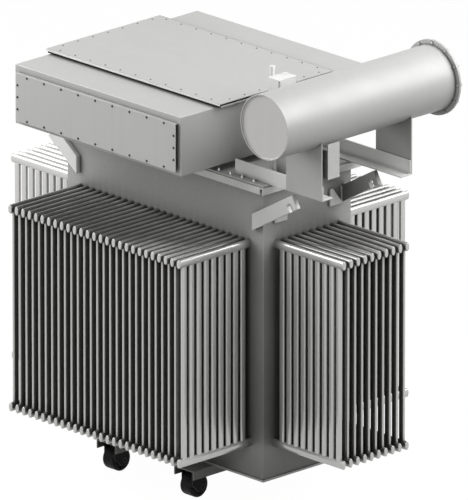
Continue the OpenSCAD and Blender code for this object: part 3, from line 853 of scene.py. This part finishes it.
class TRANSFORMER_OT_radiators(Operator):
    """Build the banks of flat-tube radiator panels on all four sides"""

    bl_idname = "transformer.radiators"
    bl_label = "Radiators"

    def execute(self, context):
        sizes = settings("radiators")
        for bank in ("left", "middle", "right"):
            self.add_bank("front_radiator_" + bank, 0, sizes.bank_panels, -Y_AXIS, "radiator")
            self.add_bank("rear_radiator_" + bank, 0, sizes.bank_panels, Y_AXIS, "radiator")
        # The left end bank takes the lighter radiator copy: painted light.
        self.add_bank("left_end_radiator", 1, sizes.end_panels, -X_AXIS, "far_radiator")
        self.add_bank("right_end_radiator", 1, sizes.end_panels, X_AXIS, "radiator")
        return {"FINISHED"}

    def add_bank(self, node, along, count, outward, finish):
        sizes = settings("radiators")
        low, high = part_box(node)
        away = 1 - along
        reach = high[away] - low[away]
        wall = low[away] if outward[away] > 0 else high[away]
        panel = self.panel(reach, low.z + sizes.header_height / 2, high.z - sizes.header_height / 2)
        first = low[along] + sizes.header_width / 2
        last = high[along] - sizes.header_width / 2
        turn = Matrix.Rotation(math.atan2(outward.y, outward.x), 4, "Z")
        bm = bmesh.new()
        for index in range(count):
            place = Vector((0, 0, 0))
            place[away] = wall
            place[along] = first + (last - first) * index / (count - 1)
            start = len(bm.verts)
            bm.from_mesh(panel)
            bm.verts.ensure_lookup_table()
            bmesh.ops.transform(bm, matrix=Matrix.Translation(place) @ turn, verts=bm.verts[start:])
        bpy.data.meshes.remove(panel)
        add_piece("bank_" + node, bm, finish, replaced=(node,))

    def panel(self, reach, bottom, top):
        """One panel standing out along +X from a wall at x 0."""
        sizes = settings("radiators")
        bm = bmesh.new()
        for level in (bottom, top):
            self.add_header(bm, sizes, reach, level)
        for index in range(sizes.tube_count):
            x = sizes.first_tube + index * sizes.tube_pitch
            self.add_tube(bm, sizes, x, bottom, top)
        return as_mesh("radiator_panel", bm)

    def add_tube(self, bm, sizes, x, bottom, top):
        """A flat tube with round edges, standing from header to header."""
        verts = add_rod(bm, (0, 0, bottom), (0, 0, top), sizes.tube_thickness / 2, sides=16)
        half = (sizes.tube_width - sizes.tube_thickness) / 2
        for vert in verts:
            if abs(vert.co.x) > MERGE_DISTANCE:
                vert.co.x += math.copysign(half, vert.co.x)
            vert.co.x += x

    def add_oval(self, bm, sizes, swell, span, level, sides, tip=UNIT_RADIUS):
        """An oval pipe lying out from the wall over a span."""
        lying = Matrix.Rotation(math.pi / 2, 4, "Y")
        scale = Matrix.Diagonal((sizes.header_height + swell, sizes.header_width + swell, span, 1))
        matrix = Matrix.Translation((span / 2, 0, level)) @ lying @ scale
        made = bmesh.ops.create_cone(
            bm, cap_ends=True, segments=sides, radius1=UNIT_RADIUS, radius2=tip, depth=1, matrix=matrix
        )
        return made["verts"]

    def add_header(self, bm, sizes, reach, level):
        """A header pipe with a domed tip and a weld collar at the wall."""
        pipe = self.add_oval(bm, sizes, 0.0, reach, level, sides=24)
        tip = {vert for vert in pipe if vert.co.x > reach / 2}
        rim = [edge for edge in bm.edges if edge.verts[0] in tip and edge.verts[1] in tip]
        bevel(bm, rim, sizes.header_dome, segments=3)
        swell = sizes.collar_swell * 2
        self.add_oval(bm, sizes, swell, sizes.collar, level, sides=16, tip=COLLAR_TAPER)


class TRANSFORMER_OT_lugs(Operator):
    """Build the lifting lugs and their pads"""

    bl_idname = "transformer.lugs"
    bl_label = "Lifting lugs"

    def execute(self, context):
        # The front hooks and pads take the lighter grey as painted light, the rear hooks the tank paint as
        # painted shade.
        self.add_hooks("front_hooks", 1, "fitting", replaced=("lifting_lugs",))
        self.add_hooks("rear_hooks", -1, "tank")
        clean_copy("hook_pads", "lug_pads", "fitting")
        return {"FINISHED"}

    def add_hooks(self, name, dropped, finish, replaced=()):
        """The hooks of one long side; those on the dropped side of y 0 are left out."""
        bm = solid_copy("lifting_lugs")
        others = [vert for vert in bm.verts if vert.co.y * dropped > 0]
        bmesh.ops.delete(bm, geom=others, context="VERTS")
        soften(bm, settings("edges").plate)
        add_piece(name, bm, finish, replaced=replaced)


class TRANSFORMER_OT_terminal_box(Operator):
    """Build the terminal box with its screwed lid and access panels"""

    bl_idname = "transformer.terminal_box"
    bl_label = "Terminal box"

    def execute(self, context):
        clean_copy("box_stand", "box_plinth", "grey")
        self.add_shell()
        self.add_lid()
        screws = bmesh.new()
        gaskets = bmesh.new()
        self.add_panel("front_panel", -Y_AXIS, screws, gaskets)
        self.add_panel("rear_panel", Y_AXIS, screws, gaskets)
        self.add_lid_screws(screws)
        add_piece("box_screws", screws, "screw")
        self.add_lid_gasket(gaskets)
        add_piece("box_gaskets", gaskets, "rubber")
        return {"FINISHED"}

    def add_shell(self):
        sheets = ("box_floor", "box_front_wall", "box_rear_wall", "box_end_walls", "box_top")
        low, high = joined_box(sheets)
        bm = bmesh.new()
        add_slab(bm, low, high)
        soften(bm, settings("edges").box, segments=4)
        # The box takes the tank paint for its long-reach painted shade.
        add_piece("terminal_box", bm, "tank", replaced=sheets)

    def add_lid(self):
        """A sheet with folded lips along its front and rear edges, over rails at its ends."""
        sizes = settings("hardware")
        low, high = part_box("box_lid")
        top = high.z + sizes.lid_rise
        under = top - sizes.lid_plate
        lip = top - sizes.lid_lip
        rounding = settings("edges").plate * THIN_EDGE
        bm = bmesh.new()
        add_slab(bm, (low.x, low.y, under), (high.x, high.y, top))
        soften(bm, rounding)
        add_piece("lid_plate", bm, "edged", replaced=("box_lid",))
        lips = bmesh.new()
        for side in (low.y - sizes.lip_proud, high.y + sizes.lip_proud - sizes.lid_plate):
            add_slab(lips, (low.x, side, lip), (high.x, side + sizes.lid_plate, top))
        soften(lips, rounding)
        # The lips take the lighter grey: a painted highlight along the lid's edges.
        add_piece("lid_lips", lips, "fitting")
        rails = bmesh.new()
        near, far = low.y + sizes.gasket_inset, high.y - sizes.gasket_inset
        rail_top = low.z + sizes.lid_rail
        for side in (low.x + sizes.lid_plate, high.x - sizes.gasket_inset):
            width = sizes.gasket_inset - sizes.lid_plate
            add_slab(rails, (side, near, low.z), (side + width, far, rail_top))
        add_piece("lid_rails", rails, "grey")

    # A black rubber gasket under the lid; its dark also stands for the shade in the gap under the lid's
    # edge.
    def add_lid_gasket(self, bm):
        sizes = settings("hardware")
        low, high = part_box("box_lid")
        inset = sizes.lid_plate * 1.5
        add_slab(
            bm,
            (low.x + inset, low.y + inset, low.z),
            (high.x - inset, high.y - inset, high.z + sizes.lid_rise - sizes.lid_plate),
        )

    def add_lid_screws(self, bm):
        sizes = settings("hardware")
        low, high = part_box("box_lid")
        edge = sizes.lid_screw_inset
        near, far = low.y + edge, high.y - edge
        left, right = low.x + edge, high.x - edge
        top = high.z + sizes.lid_rise
        for x in centred(left, right - sizes.lid_slack, sizes.lid_pitch):
            for y in (near, far):
                add_screw(bm, (x, y, top), Z_AXIS, sizes.lid_screw)
        for y in centred(near + 2 * sizes.lid_slack, far, sizes.lid_side_pitch):
            for x in (left, right):
                add_screw(bm, (x, y, top), Z_AXIS, sizes.lid_screw)

    def add_panel(self, node, outward, screws, gaskets):
        """A sheet with a full-depth top lip, on a gasket set in from its edge."""
        sizes = settings("hardware")
        low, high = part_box(node)
        face = low.y if outward.y < 0 else high.y
        root = high.y if outward.y < 0 else low.y
        back = face - outward.y * sizes.panel_plate
        rounding = settings("edges").plate
        bm = bmesh.new()
        add_slab(bm, (low.x, min(face, back), low.z), (high.x, max(face, back), high.z))
        soften(bm, rounding)
        add_piece(node + "_sheet", bm, "edged", replaced=(node,))
        lip_under = high.z - sizes.panel_plate
        lip = bmesh.new()
        add_slab(lip, (low.x, min(back, root), lip_under), (high.x, max(back, root), high.z))
        soften(lip, rounding)
        # The lip takes the lighter grey: a painted highlight along the panel's top.
        add_piece(node + "_lip", lip, "fitting")
        # A black rubber gasket behind the sheet; its dark also stands for the shade in the gap round the
        # panel.
        inset = sizes.gasket_inset
        add_slab(
            gaskets,
            (low.x + inset, min(back, root), low.z + inset),
            (high.x - inset, max(back, root), lip_under),
        )
        edge = sizes.panel_screw_inset
        corner = sizes.panel_corner
        for x in centred(low.x + corner, high.x - corner, sizes.panel_pitch):
            for z in (low.z + edge, high.z - edge):
                add_screw(screws, (x, face, z), outward, sizes.panel_screw)
        quarter = (high.z - low.z) / 4
        for x in (low.x + edge, high.x - edge):
            for step in (1, 2, 3):
                add_screw(screws, (x, face, low.z + step * quarter), outward, sizes.panel_screw)


class TRANSFORMER_OT_conservator(Operator):
    """Build the conservator drum with its bolted end, saddles and beams"""

    bl_idname = "transformer.conservator"
    bl_label = "Conservator"

    def execute(self, context):
        self.add_drum()
        self.add_end()
        self.add_flange()
        # The beams take the lighter grey: painted light.
        clean_copy("support_beams", "support_angles", "fitting")
        # The saddles take the tank paint for its painted shade under the drum.
        clean_copy("drum_saddles", "saddle_plates", "tank")
        return {"FINISHED"}

    def add_drum(self):
        low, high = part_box("conservator_shell")
        sizes = settings("fittings")
        radius = (high.x - low.x) / 2
        inner = radius - sizes.drum_wall
        half = (high.y - low.y) / 2
        profile = [(-half, inner), (-half, radius), (half, radius), (half, inner)]
        bm = bmesh.new()
        add_lathe(bm, profile, middle("conservator_shell"), Y_AXIS, steps=96)
        soften(bm, sizes.drum_edge)
        add_piece("drum", bm, "drum", replaced=("conservator_shell",))

    def add_end(self):
        low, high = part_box("conservator_end")
        centre = middle("conservator_end")
        radius = (high.x - low.x) / 2
        bm = bmesh.new()
        add_rod(bm, (centre.x, low.y, centre.z), (centre.x, high.y, centre.z), radius, sides=96)
        bead = settings("edges").bead
        profile = [(-bead, radius), (0.0, radius - bead), (bead, radius)]
        add_lathe(bm, profile, (centre.x, low.y, centre.z), Y_AXIS, steps=96)
        add_piece("drum_end", bm, "disc", replaced=("conservator_end",))

    def add_flange(self):
        for node, name in (("conservator_flange", "drum_flange"), ("conservator_cover", "drum_cover")):
            bm = solid_copy(node)
            soften(bm, settings("edges").plate, sharper_than=50.0)
            add_piece(name, bm, "drum", replaced=(node,))
        sizes = settings("hardware")
        flange_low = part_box("conservator_flange")[0]
        cover_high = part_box("conservator_cover")[1]
        centre = middle("conservator_flange")
        pattern = next(m for m in frame["record"]["mounts"] if m["name"] == "conservator_flange_bolts")
        count = pattern["dims"]["count"]
        radius = pattern["dims"]["pcd_mm"] / 2000
        nuts = bmesh.new()
        studs = bmesh.new()
        for index in range(count):
            turn = math.tau * index / count
            x = centre.x + radius * math.cos(turn)
            z = centre.z + radius * math.sin(turn)
            near = Vector((x, flange_low.y, z))
            far = Vector((x, cover_high.y, z))
            add_hex_bolt(nuts, far, Y_AXIS, sizes.flange_bolt)
            tip = Y_AXIS * sizes.flange_bolt * STUD_TIP
            add_rod(studs, near - tip, far, sizes.flange_bolt * STUD_RADIUS, sides=8)
        add_piece("drum_nuts", nuts, "grey")
        add_piece("drum_studs", studs, "zinc")


class TRANSFORMER_OT_rating_plate(Operator):
    """Build the blank rating plate on its bracket"""

    bl_idname = "transformer.rating_plate"
    bl_label = "Rating plate"

    def execute(self, context):
        clean_copy("blank_plate", "rating_plate", "plate", THIN_EDGE)
        clean_copy("plate_bars", "plate_bar_bracket", "grey", share_of_edge=THIN_EDGE)
        sizes = settings("fittings")
        low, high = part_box("rating_plate")
        corner = sizes.plate_corner
        bm = bmesh.new()
        for y in (low.y + corner, high.y - corner):
            for z in (low.z + corner, high.z - corner):
                add_screw(bm, (high.x, y, z), X_AXIS, sizes.small_screw)
        add_piece("plate_rivets", bm, "zinc")
        return {"FINISHED"}


class TRANSFORMER_OT_oil_fittings(Operator):
    """Build the oil riser, the relay, the vent and the feed pipe"""

    bl_idname = "transformer.oil_fittings"
    bl_label = "Oil relay and vent"

    def execute(self, context):
        clean_copy("riser_pipe", "oil_riser", "grey")
        clean_copy("feed_pipe", "oil_pipe", "grey")
        self.add_relay()
        self.add_vent()
        return {"FINISHED"}

    def add_relay(self):
        sizes = settings("fittings")
        low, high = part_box("oil_relay")
        under = high.z - sizes.relay_lid
        inset = sizes.relay_inset
        bm = bmesh.new()
        add_slab(bm, (low.x + inset, low.y + inset, low.z), (high.x - inset, high.y - inset, under))
        add_slab(bm, (low.x, low.y, under), high)
        soften(bm, settings("edges").plate * 2, segments=3)
        add_piece("relay_box", bm, "white", replaced=("oil_relay",))
        self.add_relay_seam(sizes, low, high, under)
        corner = sizes.relay_corner
        screws = bmesh.new()
        for x in (low.x + corner, high.x - corner):
            for y in (low.y + corner, high.y - corner):
                add_screw(screws, (x, y, high.z), Z_AXIS, sizes.small_screw)
        add_piece("relay_screws", screws, "zinc")

    def add_relay_seam(self, sizes, low, high, under):
        """A strip of darker plate metal down the relay's corner, from under its lid."""
        width = sizes.relay_strip
        foot = low.z + (high.z - low.z) * sizes.strip_foot
        bm = bmesh.new()
        add_slab(bm, (high.x - width, low.y, foot), (high.x, low.y + width, under))
        add_piece("relay_strip", bm, "plate")

    def add_vent(self):
        low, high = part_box("vent_pipe")
        centre = middle("vent_pipe")
        sizes = settings("fittings")
        radius = (high.x - low.x) / 2
        neck = (centre.x, centre.y, high.z - sizes.vent_cap)
        bm = bmesh.new()
        add_rod(bm, (centre.x, centre.y, low.z), neck, radius - sizes.vent_lip)
        add_rod(bm, neck, (centre.x, centre.y, high.z), radius)
        soften(bm, sizes.vent_lip, segments=3, sharper_than=50.0)
        add_piece("vent_tube", bm, "white", replaced=("vent_pipe",))


OPERATORS = (
    TRANSFORMER_OT_stage,
    TRANSFORMER_OT_tank,
    TRANSFORMER_OT_undercarriage,
    TRANSFORMER_OT_rollers,
    TRANSFORMER_OT_radiators,
    TRANSFORMER_OT_lugs,
    TRANSFORMER_OT_terminal_box,
    TRANSFORMER_OT_conservator,
    TRANSFORMER_OT_rating_plate,
    TRANSFORMER_OT_oil_fittings,
)

GROUPS = {
    "finishes": TransformerFinishes,
    "radiators": TransformerRadiators,
    "rollers": TransformerRollers,
    "edges": TransformerEdges,
    "hardware": TransformerHardware,
    "fittings": TransformerFittings,
    "stage": TransformerStage,
}


class TRANSFORMER_PT_panel(Panel):
    """Lists the operators that build the transformer"""

    bl_idname = "TRANSFORMER_PT_panel"
    bl_label = "Oil-immersed transformer"
    bl_space_type = "VIEW_3D"
    bl_region_type = "UI"
    bl_category = "Transformer"

    def draw(self, context):
        for operator in OPERATORS:
            self.layout.operator(operator.bl_idname)


def register():
    for name, group in GROUPS.items():
        bpy.utils.register_class(group)
        setattr(bpy.types.Scene, "transformer_" + name, PointerProperty(type=group))
    for operator in OPERATORS:
        bpy.utils.register_class(operator)
    bpy.utils.register_class(TRANSFORMER_PT_panel)


def unregister():
    bpy.utils.unregister_class(TRANSFORMER_PT_panel)
    for operator in reversed(OPERATORS):
        bpy.utils.unregister_class(operator)
    for name, group in reversed(GROUPS.items()):
        delattr(bpy.types.Scene, "transformer_" + name)
        bpy.utils.unregister_class(group)


def main():
    register()
    make_finishes()
    bpy.ops.transformer.stage()
    bpy.ops.transformer.tank()
    bpy.ops.transformer.undercarriage()
    bpy.ops.transformer.rollers()
    bpy.ops.transformer.radiators()
    bpy.ops.transformer.lugs()
    bpy.ops.transformer.terminal_box()
    bpy.ops.transformer.conservator()
    bpy.ops.transformer.rating_plate()
    bpy.ops.transformer.oil_fittings()


if __name__ == "__main__":
    main()
